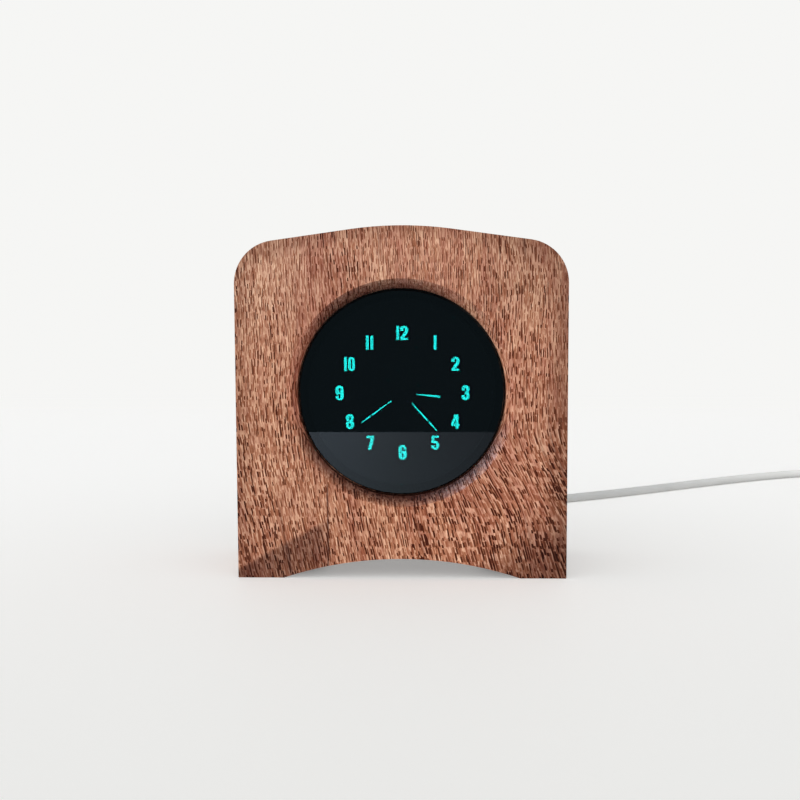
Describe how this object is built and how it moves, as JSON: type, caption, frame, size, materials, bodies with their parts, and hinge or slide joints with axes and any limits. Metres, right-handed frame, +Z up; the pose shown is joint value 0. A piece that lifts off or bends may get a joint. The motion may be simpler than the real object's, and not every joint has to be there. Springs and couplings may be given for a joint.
{
  "type": "desk alarm clock",
  "caption": "Wooden desk clock with a round smoked lens over a glowing segment dial, push keys on a rear cover and a detachable white power lead.",
  "frame": {"origin": "middle of the case's footprint, on the table plane under the feet", "axes": "+Z up, the dial faces -Y, +X to the right of a person facing the dial"},
  "size_m": [0.2895, 0.2052, 0.1066],
  "materials": {
    "oiled_wood": "satin oiled, open pores",
    "smoked_lens": "polished, smoked",
    "clear_glass": "polished",
    "dark_glass": "black printed glass",
    "lit_phosphor": "glowing cyan phosphor",
    "unlit_phosphor": "phosphor that is off",
    "black_foam": "closed-cell foam",
    "black_plastic": "fine texture",
    "chip_black": "moulded epoxy",
    "steel": "etched",
    "tinned_metal": "tin plated",
    "capacitor_can": "drawn can",
    "screw_steel": "zinc plated",
    "brass": "machined",
    "gold_header": "plated pins in a moulded strip",
    "circuit_board": "solder mask",
    "white_plastic": "moulded, satin",
    "white_cord": "soft satin jacket"
  },
  "bodies": {
    "clock": {"wood_case": "oiled_wood", "front_lens": "smoked_lens", "lens_adhesive_ring": "black_foam", "back_cover": "black_plastic", "cover_screws": "screw_steel", "cover_inserts": "brass", "display_gasket": "black_foam", "display_face_glass": "clear_glass", "display_spacer_frame": "clear_glass", "display_anode_plate": "dark_glass", "hour_numerals": "lit_phosphor", "hour_hand": "lit_phosphor", "minute_hand": "lit_phosphor", "second_hand": "lit_phosphor", "unlit_hand_segments": "unlit_phosphor", "grid_frame": "steel", "filament_wires": "steel", "filament_supports": "steel", "getter_ring": "steel", "exhaust_tip": "clear_glass", "display_pins": "tinned_metal", "display_foam_pads": "black_foam", "display_board": "circuit_board", "driver_chips": "chip_black", "board_spacers": "brass", "display_board_screws": "screw_steel", "board_socket": "black_plastic", "board_header": "gold_header", "control_board": "circuit_board", "control_board_standoffs": "brass", "standoff_screws": "screw_steel", "control_board_screws": "screw_steel", "microcontroller": "chip_black", "timekeeping_chip": "chip_black", "quartz_crystal": "tinned_metal", "cell_holder": "white_plastic", "coin_cell": "tinned_metal", "boost_inductor": "chip_black", "filter_capacitors": "capacitor_can", "buzzer": "black_plastic", "switch_housings": "black_plastic", "usb_socket_shell": "tinned_metal", "usb_socket_tongue": "black_plastic", "usb_plug_shell": "tinned_metal", "usb_plug_body": "white_plastic", "plug_strain_relief": "white_cord", "power_cord": "white_cord", "cord_coil": "white_cord", "cord_tie": "black_plastic", "supply_plug_relief": "white_cord", "supply_plug_body": "white_plastic", "supply_plug_shell": "tinned_metal", "supply_plug_insulator": "white_plastic"},
    "set_key": {"set_plunger": "white_plastic", "set_button": "black_plastic"},
    "up_key": {"up_plunger": "white_plastic", "up_button": "black_plastic"},
    "down_key": {"down_plunger": "white_plastic", "down_button": "black_plastic"}
  },
  "joints": [
    {"name": "set_press", "type": "slide", "parent": "clock", "child": "set_key", "axis": [0, -1, 0], "range_m": [0, 0.0005], "stiffness_N_per_m": 1500, "springref_m": -0.0003},
    {"name": "up_press", "type": "slide", "parent": "clock", "child": "up_key", "axis": [0, -1, 0], "range_m": [0, 0.0005], "stiffness_N_per_m": 1500, "springref_m": -0.0003},
    {"name": "down_press", "type": "slide", "parent": "clock", "child": "down_key", "axis": [0, -1, 0], "range_m": [0, 0.0005], "stiffness_N_per_m": 1500, "springref_m": -0.0003}
  ]
}
